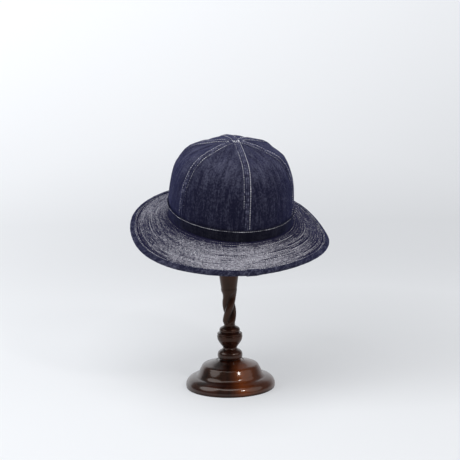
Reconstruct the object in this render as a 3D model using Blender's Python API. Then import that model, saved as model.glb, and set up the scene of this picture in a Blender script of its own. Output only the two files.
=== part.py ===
"""Denim army hat on a turned wooden stand.

Metres, +Z up. The origin is the centre of the stand's flat underside, and the hat's front seam
faces -Y. The hat is modelled upright in its own frame and leans forward on the stand's dome.
"""
import math

import bmesh
import bpy
from mathutils import Euler, Matrix, Vector

MM = 0.001
GAP = 0.3 * MM  # clearance between neighbouring pieces

# Where the hat sits: its own frame has its origin at the centre of the crown's lower edge.
HAT_PLACE = Vector((6.5, 12.0, 262.0)) * MM
HAT_LEAN_FORWARD = math.radians(14.9)
HAT_LEAN_RIGHT = math.radians(1.3)

# Crown: a row for each level, from the lower edge up to the apex.
CROWN_ROWS_MM = (
    # height, radius at a seam
    (0.0, 94.2),
    (22.0, 95.0),
    (45.0, 94.0),
    (66.0, 90.7),
    (82.0, 83.8),
    (95.0, 75.6),
    (105.0, 62.6),
    (111.5, 44.8),
    (116.0, 30.5),
    (119.0, 15.0),
    (120.5, 1.2),
)
CROWN_WALL = 1.6 * MM
CROWN_STEPS = 14
NORMAL_REACH = 0.004  # how far along the profile, as a share of it, its direction is measured

GORE_FLATNESS_ROWS = (
    # height in mm, how far a gore's middle lies inside the seams' circle as a share of its radius
    (0.0, 0.008),
    (45.0, 0.016),
    (90.0, 0.020),
    (112.0, 0.100),
    (121.0, 0.100),
)

FOOT_TUCKS_MM = (
    # how far the band draws the crown's foot in, at equal steps from the front towards +X
    1.0,  # front
    1.5,  # right
    2.0,  # back
    4.5,  # left
)
FOOT_TUCK_HEIGHT = 26 * MM

# Seams run from the lower edge to the apex. Each azimuth is turned from the front towards +X.
GORES = (
    # name, seam where it starts, seam where it ends, in degrees
    ("crown_gore_front_right", 0, 62),
    ("crown_gore_right", 62, 120),
    ("crown_gore_back_right", 120, 180),
    ("crown_gore_back_left", 180, 240),
    ("crown_gore_left", 240, 295),
    ("crown_gore_front_left", 295, 360),
)
SEAM_STRIP = 5.8 * MM  # the folded seam allowance makes a raised strip on each side of a seam
SEAM_STRIP_EDGE = 1.0 * MM
SEAM_STRIP_HEIGHT = 0.7 * MM
STRIP_SHARE_AT_APEX = 0.45  # of a gore's half width, where the strips run together
STRIP_EDGE_SHARE_AT_APEX = 0.57

CROWN_DENTS_MM = (
    # azimuth in degrees, height, reach, depth (a swelling is below zero)
    (-14, 92, 13, 1.3),
    (-36, 84, 17, -1.1),
    (27, 96, 16, 1.0),
    (44, 60, 24, 0.9),
    (-82, 52, 26, 1.2),
    (88, 44, 26, 0.9),
    (150, 80, 24, 1.2),
    (206, 70, 26, 1.2),
    (-100, 97, 18, 2.4),
    (150, 104, 20, -1.2),
    (210, 108, 20, 1.1),
    (100, 85, 18, -2.0),
)

# Hat band: a ring round the foot of the crown.
BAND_HEIGHT = 17.5 * MM
BAND_WALL = 1.2 * MM

# Brim: how steeply it falls, at equal steps of azimuth from the front towards +X.
BRIM_SLOPES = (
    # degrees below the plane of the crown's lower edge
    22.2,  # front
    18.4,
    21.9,
    27.4,  # right
    19.3,
    13.0,
    14.0,  # back
    19.0,
    25.7,
    36.3,  # left
    34.7,
    27.5,
)
BRIM_WIDTH = 64.4 * MM  # along the slope, to the outside of the binding
BRIM_WALL = 2.2 * MM
BRIM_STEPS_ACROSS = 6
HAT_STEPS_ROUND = 64

BINDING_WIDTH = 9.2 * MM
BINDING_WALL = 1.0 * MM
BINDING_ROUNDING = 1.2 * MM

# Stand: turned profiles, a row for each level from the bottom up.
BASE_ROWS_MM = (
    # height, radius
    (0.0, 67.0),
    (2.0, 67.6),
    (7.2, 67.4),
    (11.4, 65.1),
    (14.4, 61.6),
    (16.4, 56.6),
    (17.4, 52.4),
    (19.0, 50.2),
    (22.0, 48.2),
    (28.0, 45.5),
    (33.2, 42.6),
    (35.6, 38.4),
    (38.4, 28.6),
    (41.1, 21.0),
    (34.0, 20.6),
)
BASE_STEPS_ROUND = 40

COLUMN_ROWS_MM = (
    # height, radius
    (34.3, 20.2),
    (40.4, 20.2),
    (41.5, 17.8),
    (42.6, 15.4),
    (43.8, 17.0),
    (45.4, 18.4),
    (49.5, 18.9),
    (53.4, 18.1),
    (56.1, 15.7),
    (57.7, 12.9),
    (59.2, 11.0),
    (61.2, 10.8),
    (63.8, 12.5),
    (68.6, 15.9),
    (73.0, 18.3),
    (77.0, 19.2),
    (79.8, 19.0),
    (80.8, 18.3),
    (81.8, 19.0),
    (83.0, 18.6),
    (84.0, 16.8),
    (84.4, 14.6),
    (86.5, 15.5),
    (89.0, 15.5),
    (91.2, 14.2),
    (92.8, 11.6),
    (94.2, 9.0),
    (96.0, 8.5),
)
TWIST_LEVELS_MM = (96.0, 150.0)
TWIST_STEPS = 18
TWIST_STRANDS = 3
TWIST_PITCH = 88.5 * MM
TWIST_GROOVE_AZIMUTH = 31  # degrees, where one groove would cross the base's level
STRAND_RADIUS = 5.9 * MM
STRAND_OFFSET = 4.5 * MM
TWIST_FOOT_BLEND = 6 * MM
TWIST_TOP_BLEND = 14 * MM
NECK_ROWS_MM = (
    # height, radius
    (153.0, 12.1),
    (160.0, 13.0),
    (170.0, 14.3),
    (190.0, 15.9),
    (215.0, 17.8),
    (240.0, 20.5),
    (262.0, 24.0),
    (276.0, 29.0),
)
COLUMN_STEPS_ROUND = 30

# The dome that carries the crown: a flat underside and a round top.
HEAD_RADIUS = 50 * MM
HEAD_CENTRE_HEIGHT = 327.5 * MM  # seats the dome just under the crown, clear by the gap
HEAD_UNDERSIDE_HEIGHT = 276.3 * MM
HEAD_UNDERSIDE_RADIUS = 34 * MM
HEAD_WAIST_HEIGHT = 300 * MM
HEAD_TOP_RADIUS = 0.4 * MM
HEAD_STEPS_ROUND = 28
HEAD_STEPS_UP = 9

SPIN_RADIUS = 1.0  # a ring is spun at this radius before it is bent to its true shape
MERGE_DISTANCE = 0.01 * MM
AXIS_RADIUS = 1 * MM  # nothing closer to the stand's axis is carved
SHARP_EDGE = math.radians(40)

COLOURS = {
    # red, green, blue, roughness
    "crown_denim": (0.030, 0.030, 0.055, 0.92),
    "band_denim": (0.014, 0.014, 0.022, 0.92),
    "brim_denim": (0.120, 0.125, 0.165, 0.92),
    "binding_cloth": (0.020, 0.020, 0.042, 0.90),
    "varnished_wood": (0.055, 0.022, 0.014, 0.28),
}


def clear_scene():
    for item in list(bpy.data.objects):
        bpy.data.objects.remove(item, do_unlink=True)


def smooth_step(low, high, value):
    share = min(max((value - low) / (high - low), 0.0), 1.0)
    return share * share * (3 - 2 * share)


def curve_through(before, start, end, after, share):
    """A smooth curve's value between start and end, with its neighbours on either side."""
    straight = (end - before) * share
    bend = (2 * before - 5 * start + 4 * end - after) * share ** 2
    twist = (3 * start - before - 3 * end + after) * share ** 3
    return 0.5 * (2 * start + straight + bend + twist)


def around(rows, azimuth):
    """A smooth value round the hat, from rows at equal steps that start at the front."""
    position = azimuth / math.tau * len(rows)
    row = math.floor(position)
    values = [rows[(row + step) % len(rows)] for step in (-1, 0, 1, 2)]
    return curve_through(*values, position - row)


def foot_tuck(azimuth, height):
    """How far the foot of the crown is drawn in below its fullest height."""
    return around(FOOT_TUCKS_MM, azimuth) * MM * (1 - smooth_step(0, FOOT_TUCK_HEIGHT, height))


def gore_flatness(height):
    for low, high in zip(GORE_FLATNESS_ROWS, GORE_FLATNESS_ROWS[1:]):
        if height <= high[0] * MM:
            share = (height / MM - low[0]) / (high[0] - low[0])
            return low[1] + (high[1] - low[1]) * max(share, 0)
    return GORE_FLATNESS_ROWS[-1][1]


def crown_profile(level):
    """Radius at a seam and height, for a level from 0 at the lower edge to 1 at the apex."""
    last = len(CROWN_ROWS_MM) - 1
    position = min(max(level, 0.0), 1.0) * last
    row = min(int(position), last - 1)
    share = position - row
    here = Vector(CROWN_ROWS_MM[row])
    above = Vector(CROWN_ROWS_MM[row + 1])
    below = Vector(CROWN_ROWS_MM[row - 1]) if row > 0 else 2 * here - above
    beyond = Vector(CROWN_ROWS_MM[row + 2]) if row + 2 <= last else 2 * above - here
    height, radius = curve_through(below, here, above, beyond, share) * MM
    return radius, height


def crown_normal(level):
    """The outward direction in the upright plane through the axis, as (outward, upward)."""
    low_radius, low_height = crown_profile(max(level - NORMAL_REACH, 0))
    high_radius, high_height = crown_profile(min(level + NORMAL_REACH, 1))
    normal = Vector((high_height - low_height, low_radius - high_radius))
    return normal.normalized()


def dent_depth(azimuth, radius, height):
    """How far the soft dents and swellings push the cloth in."""
    depth = 0.0
    for dent_degrees, dent_height, reach, deep in CROWN_DENTS_MM:
        turn = (azimuth - math.radians(dent_degrees) + math.pi) % math.tau - math.pi
        away = math.hypot(turn * radius, height - dent_height * MM) / (reach * MM)
        depth += deep * MM * math.exp(-away * away)
    return depth


def crown_point(azimuth, level, across, lift):
    """A point of the crown. Across runs from -1 to 1 between a gore's two seams."""
    seam_radius, height = crown_profile(level)
    outward, upward = crown_normal(level)
    radius = seam_radius * (1 - gore_flatness(height) * (1 - across * across))
    radius -= foot_tuck(azimuth, height)
    lift = lift - dent_depth(azimuth, seam_radius, height)
    radius += lift * outward
    height += lift * upward
    return Vector((radius * math.sin(azimuth), -radius * math.cos(azimuth), height))


def brim_point(azimuth, out, lift):
    """A point of the brim, measured out along its slope from the crown's outer face."""
    slope = math.radians(around(BRIM_SLOPES, azimuth))
    reach = max(out, 0)
    radius = CROWN_ROWS_MM[0][1] * MM
    radius -= foot_tuck(azimuth, 0) * (1 - reach / BRIM_WIDTH)
    height = lift
    if out > 0:
        radius += out * math.cos(slope) + lift * math.sin(slope)
        height = -out * math.sin(slope) + lift * math.cos(slope)
    else:
        radius += out
    return Vector((radius * math.sin(azimuth), -radius * math.cos(azimuth), height))


def material(name):
    found = bpy.data.materials.get(name)
    if found:
        return found
    red, green, blue, roughness = COLOURS[name]
    made = bpy.data.materials.new(name)
    made.use_nodes = True
    shader = made.node_tree.nodes["Principled BSDF"]
    shader.inputs["Base Color"].default_value = (red, green, blue, 1)
    shader.inputs["Roughness"].default_value = roughness
    shader.inputs["Metallic"].default_value = 0.0
    made.diffuse_color = (red, green, blue, 1)
    return made


def finish(name, mesh_data, material_name, parent=None):
    bmesh.ops.recalc_face_normals(mesh_data, faces=mesh_data.faces)
    mesh = bpy.data.meshes.new(name)
    mesh_data.to_mesh(mesh)
    mesh_data.free()
    mesh.shade_smooth()
    mesh.set_sharp_from_angle(angle=SHARP_EDGE)
    mesh.materials.append(material(material_name))
    made = bpy.data.objects.new(name, mesh)
    bpy.context.collection.objects.link(made)
    made.parent = parent
    return made


def ring(section, steps, bend):
    """Spin a flat section of (out, lift) points once round, then bend it to its true shape."""
    spun = bmesh.new()
    points = [spun.verts.new((SPIN_RADIUS + out, 0, lift)) for out, lift in section]
    edges = [spun.edges.new((first, second)) for first, second in zip(points, points[1:] + points[:1])]
    bmesh.ops.spin(
        spun, geom=points + edges, cent=(0, 0, 0), axis=(0, 0, 1),
        angle=math.tau, steps=steps, use_merge=True,
    )
    for point in spun.verts:
        azimuth = math.atan2(point.co.x, -point.co.y)
        out = math.hypot(point.co.x, point.co.y) - SPIN_RADIUS
        point.co = bend(azimuth, out, point.co.z)
    return spun


def turned(rows, steps, bend=None):
    """A solid of revolution from rows of (height, radius), closed flat at both ends."""
    spun = bmesh.new()
    heights = [rows[0][0]] + [height for height, radius in rows] + [rows[-1][0]]
    radii = [0] + [radius for height, radius in rows] + [0]
    points = [spun.verts.new((radius, 0, height)) for height, radius in zip(heights, radii)]
    edges = [spun.edges.new(pair) for pair in zip(points, points[1:])]
    bmesh.ops.spin(
        spun, geom=points + edges, cent=(0, 0, 0), axis=(0, 0, 1),
        angle=math.tau, steps=steps, use_merge=True,
    )
    bmesh.ops.remove_doubles(spun, verts=spun.verts, dist=MERGE_DISTANCE)
    if bend:
        for point in spun.verts:
            point.co = bend(point.co)
    return spun


def gore_columns(half_width):
    """Distances from the left seam across a gore, closer together beside the raised strips."""
    strip = min(SEAM_STRIP, half_width * STRIP_SHARE_AT_APEX)
    edge = min(SEAM_STRIP + SEAM_STRIP_EDGE, half_width * STRIP_EDGE_SHARE_AT_APEX)
    between = (edge + half_width) / 2
    left = [0, strip, edge, between]
    return left + [half_width] + [2 * half_width - distance for distance in reversed(left)]


def crown_gore(name, start_degrees, end_degrees, parent):
    """One gore: a flat grid with a thickness, bent onto the crown between its two seams."""
    middle = math.radians(start_degrees + end_degrees) / 2
    half_span = math.radians(end_degrees - start_degrees) / 2
    columns = len(gore_columns(1.0)) - 1

    flat = bmesh.new()
    bmesh.ops.create_grid(flat, x_segments=columns, y_segments=CROWN_STEPS, size=1.0)
    raised = bmesh.ops.extrude_face_region(flat, geom=flat.faces[:])
    inner = [item for item in raised["geom"] if isinstance(item, bmesh.types.BMVert)]
    bmesh.ops.translate(flat, verts=inner, vec=(0, 0, -1))

    for point in flat.verts:
        column = round((point.co.x + 1) / 2 * columns)
        level = (point.co.y + 1) / 2
        radius = crown_profile(level)[0]
        half_width = half_span * radius
        places = gore_columns(half_width)
        across = places[column] / half_width - 1
        seam_gap = math.asin(GAP / 2 / radius)
        azimuth = middle + across * (half_span - seam_gap)
        lift = 0.0
        if point.co.z < -0.5:
            lift = -CROWN_WALL
        elif column in (0, 1, columns - 1, columns):
            lift = SEAM_STRIP_HEIGHT
        point.co = crown_point(azimuth, level, across, lift)
        point.co.z += GAP
    return finish(name, flat, "crown_denim", parent)


def crown(parent):
    return [crown_gore(name, start, end, parent) for name, start, end in GORES]


def hat_band(parent):
    """The band stands on the brim, outside the gores and their raised seams."""
    inside = SEAM_STRIP_HEIGHT + GAP
    outside = inside + BAND_WALL
    section = ((inside, GAP), (outside, GAP), (outside, BAND_HEIGHT), (inside, BAND_HEIGHT))

    def bend(azimuth, out, height):
        foot, above = CROWN_ROWS_MM[:2]
        radius = foot[1] * MM + out - foot_tuck(azimuth, height)
        radius += (above[1] - foot[1]) / above[0] * height
        return Vector((radius * math.sin(azimuth), -radius * math.cos(azimuth), height))

    return finish("hat_band", ring(section, HAT_STEPS_ROUND, bend), "band_denim", parent)


def brim(parent):
    """Two quilted plies as one wall, from the crown's inner face to the inside of the binding."""
    outer = BRIM_WIDTH - BINDING_WALL - GAP
    span = [outer * step / BRIM_STEPS_ACROSS for step in range(BRIM_STEPS_ACROSS + 1)]
    top = [(-CROWN_WALL, 0)] + [(out, 0) for out in span]
    bottom = [(out, -BRIM_WALL) for out in reversed(span[1:])] + [(-CROWN_WALL, -BRIM_WALL)]
    return finish("brim", ring(top + bottom, HAT_STEPS_ROUND, brim_point), "brim_denim", parent)


def brim_binding(parent):
    """A strip folded round the brim's edge: an arm above, an arm below and a rounded nose."""
    inner_edge = BRIM_WIDTH - BINDING_WIDTH
    nose = BRIM_WIDTH
    fold = nose - BINDING_WALL
    above = GAP + BINDING_WALL
    below = -BRIM_WALL - GAP - BINDING_WALL
    section = (
        (inner_edge, GAP),
        (inner_edge, above),
        (nose - BINDING_ROUNDING, above),
        (nose, above - BINDING_ROUNDING),
        (nose, below + BINDING_ROUNDING),
        (nose - BINDING_ROUNDING, below),
        (inner_edge, below),
        (inner_edge, -BRIM_WALL - GAP),
        (fold, -BRIM_WALL - GAP),
        (fold, GAP),
    )
    return finish("brim_binding", ring(section, HAT_STEPS_ROUND, brim_point), "binding_cloth", parent)


def metres(rows):
    return [(height * MM, radius * MM) for height, radius in rows]


def stand_base():
    return finish("stand_base", turned(metres(BASE_ROWS_MM), BASE_STEPS_ROUND), "varnished_wood")


def strand_radius(azimuth, height):
    """The outline of strands laid side by side, each round, turning as they rise."""
    groove = math.radians(TWIST_GROOVE_AZIMUTH) + math.tau * height / TWIST_PITCH
    span = math.tau / TWIST_STRANDS
    from_crest = (azimuth - groove) % span - span / 2
    side = STRAND_OFFSET * math.sin(from_crest)
    return STRAND_OFFSET * math.cos(from_crest) + math.sqrt(STRAND_RADIUS ** 2 - side ** 2)


def stand_column():
    """The turned column, with its middle stretch carved into rising strands."""
    low, high = (level * MM for level in TWIST_LEVELS_MM)
    low_radius = COLUMN_ROWS_MM[-1][1] * MM
    high_radius = NECK_ROWS_MM[0][1] * MM
    carved = []
    for step in range(1, TWIST_STEPS + 1):
        share = step / TWIST_STEPS
        carved.append((low + (high - low) * share, low_radius + (high_radius - low_radius) * share))

    def twist(point):
        radius = math.hypot(point.x, point.y)
        start = smooth_step(low, low + TWIST_FOOT_BLEND, point.z)
        stop = 1 - smooth_step(high - TWIST_TOP_BLEND, high, point.z)
        amount = start * stop
        if radius < AXIS_RADIUS or amount == 0:
            return point
        azimuth = math.atan2(point.x, -point.y)
        target = strand_radius(azimuth, point.z)
        scale = (radius + (target - radius) * amount) / radius
        return Vector((point.x * scale, point.y * scale, point.z))

    rows = metres(COLUMN_ROWS_MM) + carved + metres(NECK_ROWS_MM)
    return finish("stand_column", turned(rows, COLUMN_STEPS_ROUND, twist), "varnished_wood")


def stand_head():
    """A plain dome: a flat underside, a straight flare and the upper part of a ball."""
    waist_angle = math.asin((HEAD_WAIST_HEIGHT - HEAD_CENTRE_HEIGHT) / HEAD_RADIUS)
    rows = [(HEAD_UNDERSIDE_HEIGHT, HEAD_UNDERSIDE_RADIUS)]
    for step in range(HEAD_STEPS_UP):
        angle = waist_angle + (math.pi / 2 - waist_angle) * step / HEAD_STEPS_UP
        height = HEAD_CENTRE_HEIGHT + HEAD_RADIUS * math.sin(angle)
        rows.append((height, HEAD_RADIUS * math.cos(angle)))
    rows.append((HEAD_CENTRE_HEIGHT + HEAD_RADIUS, HEAD_TOP_RADIUS))
    return finish("stand_head", turned(rows, HEAD_STEPS_ROUND), "varnished_wood")


def main():
    clear_scene()
    hat = bpy.data.objects.new("hat_place", None)
    bpy.context.collection.objects.link(hat)
    lean = Euler((HAT_LEAN_FORWARD, HAT_LEAN_RIGHT, 0), "XYZ").to_matrix().to_4x4()
    hat.matrix_world = Matrix.Translation(HAT_PLACE) @ lean
    crown(hat)
    hat_band(hat)
    brim(hat)
    brim_binding(hat)
    stand_base()
    stand_column()
    stand_head()
    bpy.context.view_layer.update()


main()
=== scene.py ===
# %% [markdown]
# A denim army hat on a turned wooden stand.
# The packed model gives every piece its real size and place. This script dresses it: each cloth
# piece is made again as a fine mesh bent onto the same form, sewn with real stitches, and the
# stand is turned again with smooth curves and varnished wood. It works in metres, with +Z up.

import math

import bmesh
import bpy
from mathutils import Euler, Matrix, Vector, noise


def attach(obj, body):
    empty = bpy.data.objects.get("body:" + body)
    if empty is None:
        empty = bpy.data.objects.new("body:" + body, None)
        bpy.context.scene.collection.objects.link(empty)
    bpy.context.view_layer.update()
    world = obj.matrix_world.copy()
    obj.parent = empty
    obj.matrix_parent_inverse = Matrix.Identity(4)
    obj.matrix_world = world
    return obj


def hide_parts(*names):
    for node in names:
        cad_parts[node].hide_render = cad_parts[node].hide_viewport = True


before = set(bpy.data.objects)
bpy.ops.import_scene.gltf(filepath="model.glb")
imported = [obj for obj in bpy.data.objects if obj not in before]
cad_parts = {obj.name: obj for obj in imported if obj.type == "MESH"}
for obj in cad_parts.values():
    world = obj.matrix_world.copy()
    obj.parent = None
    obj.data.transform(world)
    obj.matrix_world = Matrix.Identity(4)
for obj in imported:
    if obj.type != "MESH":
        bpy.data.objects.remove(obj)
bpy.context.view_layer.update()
MM = 0.001


def rounded(*rows):
    return [round(value, 4) for row in rows for value in row]


# %% [markdown]
# The camera comes first, because everything else is judged through it. The photo looks down on
# the hat by about ten degrees, from a little to the left of its front seam, with a long lens.
# Every place round the hat is given by its azimuth, which is 0 at the front (-Y) and grows to +X.

# %% Make the camera
CAMERA_AZIMUTH = math.radians(-15.0)
CAMERA_ELEVATION = math.radians(10.3)
CAMERA_ROLL = math.radians(-0.95)
CAMERA_DISTANCE = 2.40
CAMERA_TARGET = Vector((0.0031, 0.0, 0.2412))
SENSOR_WIDTH = 36.0
FOCAL_PIXELS = 1600
PHOTO_WIDTH = 460


def ring_point(azimuth, radius, height):
    return Vector((radius * math.sin(azimuth), -radius * math.cos(azimuth), height))


def toward(azimuth, elevation):
    """The direction from the object towards something seen at this azimuth and elevation."""
    return ring_point(azimuth, math.cos(elevation), math.sin(elevation))


def add_object(name, data):
    made = bpy.data.objects.new(name, data)
    bpy.context.scene.collection.objects.link(made)
    return made


def make_camera():
    back = toward(CAMERA_AZIMUTH, CAMERA_ELEVATION)
    level_right = Vector((math.cos(CAMERA_AZIMUTH), math.sin(CAMERA_AZIMUTH), 0))
    level_up = back.cross(level_right)
    right = level_right * math.cos(CAMERA_ROLL) + level_up * math.sin(CAMERA_ROLL)
    turn = Matrix((right, back.cross(right), back)).transposed().to_4x4()
    data = bpy.data.cameras.new("camera")
    data.sensor_width = SENSOR_WIDTH
    data.lens = SENSOR_WIDTH * FOCAL_PIXELS / PHOTO_WIDTH
    camera = add_object("camera", data)
    camera.matrix_world = Matrix.Translation(CAMERA_TARGET + back * CAMERA_DISTANCE) @ turn
    bpy.context.scene.camera = camera
    return camera


camera = make_camera()
bpy.context.scene.view_settings.view_transform = "Standard"
print("camera lens", round(camera.data.lens, 1), "mm")

# %% [markdown]
# The hat's form is a set of functions. A profile table gives the crown's radius at each height, a
# table of slopes bends the brim, and small rules add seams, folds and quilting. Every cloth
# piece and every stitch asks the same functions where the surface is, so nothing floats or sinks.

# %% Curves and waves that every piece uses
def smooth_step(low, high, value):
    share = min(max((value - low) / (high - low), 0.0), 1.0)
    return share * share * (3 - 2 * share)


def hill(value, middle, width):
    """A smooth bump that is 1 at its middle."""
    return math.exp(-((value - middle) / width) ** 2)


def curve_through(before, start, end, after, share):
    """A smooth curve's value between start and end, with its neighbours on either side."""
    straight = (end - before) * share
    bend = (2 * before - 5 * start + 4 * end - after) * share ** 2
    twist = (3 * start - before - 3 * end + after) * share ** 3
    return 0.5 * (2 * start + straight + bend + twist)


def around(rows, azimuth):
    """A smooth value round the hat, from rows at equal steps that start at the front."""
    position = azimuth / math.tau * len(rows)
    row = math.floor(position)
    values = [rows[(row + step) % len(rows)] for step in (-1, 0, 1, 2)]
    return curve_through(*values, position - row)


def along_rows(rows, position):
    """A point of the smooth curve through rows, where each whole position is a row."""
    last = len(rows) - 1
    position = min(max(position, 0.0), last)
    row = min(int(position), last - 1)
    here, above = Vector(rows[row]), Vector(rows[row + 1])
    below = Vector(rows[row - 1]) if row > 0 else 2 * here - above
    beyond = Vector(rows[row + 2]) if row + 2 <= last else 2 * above - here
    return curve_through(below, here, above, beyond, position - row)


def turn_between(azimuth, other):
    return (azimuth - other + math.pi) % math.tau - math.pi


def azimuth_of(point):
    return math.atan2(point.x, -point.y)


def ring_noise(azimuth, waves, height):
    """Noise from -1 to 1 that meets itself after a turn round the hat."""
    return noise.noise(Vector((math.cos(azimuth) * waves, math.sin(azimuth) * waves, height)))


print("halfway through four rows", curve_through(0, 1, 2, 3, 0.5))

# %% [markdown]
# The crown is nearly a dome. It could be modelled by pushing a sphere about, but a table of a few
# heights and radii is like the hat's own paper pattern: easy to measure in the photo and to
# correct. The whole hat is shaped level, and one matrix leans it forward on its stand.

# %% Where the hat sits, and its profile
HAT_PLACE = Vector((6.5, 12.0, 262.0)) * MM
HAT_LEAN_FORWARD = math.radians(14.9)
HAT_LEAN_RIGHT = math.radians(1.3)
HAT = Matrix.Translation(HAT_PLACE) @ Euler((HAT_LEAN_FORWARD, HAT_LEAN_RIGHT, 0)).to_matrix().to_4x4()

CROWN_ROWS_MM = (
    # height, radius at a seam
    (0.0, 94.2), (22.0, 95.0), (45.0, 94.0), (66.0, 90.7), (82.0, 83.8), (95.0, 75.6),
    (105.0, 62.6), (111.5, 44.8), (116.0, 30.5), (119.0, 15.0), (120.5, 0.3),
)
CROWN_RADIUS = 94.2 * MM
CROWN_WALL = 1.6 * MM
CROWN_LEVELS = 400
NORMAL_STEP = 0.04
GORE_FLATNESS_ROWS = (
    # height in mm, how far a gore's middle lies inside the seams' circle as a share of its radius
    (0.0, 0.008), (45.0, 0.016), (90.0, 0.020), (112.0, 0.100), (121.0, 0.100),
)
# how far the band draws the crown's foot in at the front, right, back and left
FOOT_TUCKS_MM = (1.0, 1.5, 2.0, 4.5)
FOOT_TUCK_HEIGHT = 26 * MM


def foot_tuck(azimuth, height):
    """How far the foot of the crown is drawn in below its fullest height."""
    if height >= FOOT_TUCK_HEIGHT:
        return 0.0
    return around(FOOT_TUCKS_MM, azimuth) * MM * (1 - smooth_step(0, FOOT_TUCK_HEIGHT, height))


def gore_flatness(height):
    for (low, low_share), (high, high_share) in zip(GORE_FLATNESS_ROWS, GORE_FLATNESS_ROWS[1:]):
        if height <= high * MM:
            share = (height / MM - low) / (high - low)
            return low_share + (high_share - low_share) * max(share, 0)
    return GORE_FLATNESS_ROWS[-1][1]


def crown_profile(level):
    """Radius at a seam, height, and the outward and upward shares of the surface's normal."""
    position = level * (len(CROWN_ROWS_MM) - 1)
    height, radius = along_rows(CROWN_ROWS_MM, position)
    low = along_rows(CROWN_ROWS_MM, position - NORMAL_STEP)
    high = along_rows(CROWN_ROWS_MM, position + NORMAL_STEP)
    normal = Vector((high.x - low.x, low.y - high.y)).normalized()
    return radius * MM, height * MM, normal.x, normal.y


CROWN_PROFILE = [crown_profile(step / CROWN_LEVELS) for step in range(CROWN_LEVELS + 1)]


def profile_at(level):
    """The crown's profile read from its finished table, which is quicker than the curve."""
    position = min(max(level, 0.0), 1.0) * CROWN_LEVELS
    step = min(int(position), CROWN_LEVELS - 1)
    low, high = CROWN_PROFILE[step], CROWN_PROFILE[step + 1]
    return [a + (b - a) * (position - step) for a, b in zip(low, high)]


print("crown from", CROWN_RADIUS, "to", round(profile_at(1.0)[1], 4))

# %% [markdown]
# Six gores meet at six seams. On the real crown the seam allowances are pressed open and stitched
# down on both sides, so each seam is a fine groove between two raised strips, with a row of
# topstitching that pulls the cloth down near each strip's edge, and puckers it a little.

# %% Seams of the crown
SEAM_DEGREES = (0, 62, 120, 180, 240, 295)
SEAMS = [math.radians(degrees) for degrees in SEAM_DEGREES]
GORES = list(zip(SEAMS, SEAMS[1:] + [math.tau]))
SEAM_STRIP = 5.8 * MM
STRIP_HEIGHT = 0.75 * MM
TOPSTITCH_FROM_SEAM = 4.7 * MM
GROOVE_DEPTH, GROOVE_WIDTH = 0.7 * MM, 0.8 * MM
VALLEY_DEPTH, VALLEY_WIDTH = 0.5 * MM, 0.8 * MM
PUCKER_DEPTH, PUCKER_FROM_SEAM, PUCKER_REACH = 0.32 * MM, 4 * MM, 5 * MM


def gore_of(azimuth):
    """The start seam and end seam of the gore at an azimuth."""
    azimuth = azimuth % math.tau
    for start, end in GORES:
        if start <= azimuth < end:
            return start, end
    return GORES[-1]


def strip_relief(aside, azimuth, height):
    """The lift of the cloth at a distance aside from a seam."""
    strip = STRIP_HEIGHT * (1 - smooth_step(SEAM_STRIP - 0.4 * MM, SEAM_STRIP + 1.4 * MM, aside))
    groove = GROOVE_DEPTH * hill(aside, 0, GROOVE_WIDTH)
    valley = VALLEY_DEPTH * hill(aside, TOPSTITCH_FROM_SEAM, VALLEY_WIDTH)
    pucker = noise.noise(Vector((azimuth * 3, height * 230, 4.0))) * PUCKER_DEPTH
    return strip - valley - groove + pucker * hill(aside, PUCKER_FROM_SEAM, PUCKER_REACH)


def seam_relief(azimuth, radius, height):
    """The front and back seams are sewn last, as one, so their strip runs over the others."""
    from_main = abs(radius * math.sin(azimuth))
    start, end = gore_of(azimuth)
    turn = azimuth % math.tau
    near = start if turn - start < end - turn else end
    relief = strip_relief(from_main, azimuth, height)
    if near % math.pi > 0.01:
        aside = radius * abs(math.sin(turn - near))
        clear = smooth_step(SEAM_STRIP, SEAM_STRIP + 1.5 * MM, from_main)
        relief += strip_relief(aside, azimuth, height) * clear
    return relief


print("six gores of", [round(math.degrees(end - start)) for start, end in GORES], "degrees")

# %% [markdown]
# Worn cloth has soft dents, and folds run down from the apex. They could be sculpted, or left to
# a cloth simulation, but then they would lie anywhere. Two tables put them where the photo has
# them, and noise adds the slow waves between.

# %% Dents, folds and waves of the crown
CROWN_DENTS_MM = (
    # azimuth in degrees, height, reach, depth (a swelling is below zero)
    (-14, 92, 13, 1.3), (-36, 84, 17, -1.1), (27, 96, 16, 1.0), (44, 60, 24, 0.9),
    (-82, 52, 26, 1.2), (88, 44, 26, 0.9), (150, 80, 24, 1.2), (206, 70, 26, 1.2),
    (-100, 97, 18, 2.4), (150, 104, 20, -1.2), (210, 108, 20, 1.1), (100, 85, 18, -2.0),
)
CROWN_FOLDS = (
    # azimuth at the top and at the foot in degrees, levels from and to, half width, depth in mm
    (-17, -12, 0.94, 0.56, 3.6, 1.5), (-32, -24, 0.92, 0.50, 4.4, -1.0), (-46, -38, 0.90, 0.44, 4.0, 1.0),
    (16, 15, 0.92, 0.60, 3.4, 1.0), (30, 25, 0.90, 0.50, 4.2, -0.8), (44, 38, 0.88, 0.46, 4.4, 1.0),
    (-84, -90, 0.88, 0.45, 7.0, 0.8), (84, 92, 0.88, 0.45, 7.0, 0.8),
    (146, 150, 0.88, 0.40, 7.0, 0.9), (205, 212, 0.88, 0.40, 7.0, 0.9),
)
HILL_END = 3
SLOW_WAVE, QUICK_WAVE = 0.9 * MM, 0.5 * MM


def fold_depth(azimuth, level, radius):
    depth = 0.0
    for top, foot, high, low, half_width, deep in CROWN_FOLDS:
        share = (level - low) / (high - low)
        if 0 < share < 1:
            middle = math.radians(foot + (top - foot) * share)
            away = turn_between(azimuth, middle) * radius / (half_width * MM)
            if abs(away) < HILL_END:
                depth += deep * MM * hill(away, 0, 1) * math.sin(math.pi * share) ** 0.7
    return depth


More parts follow.
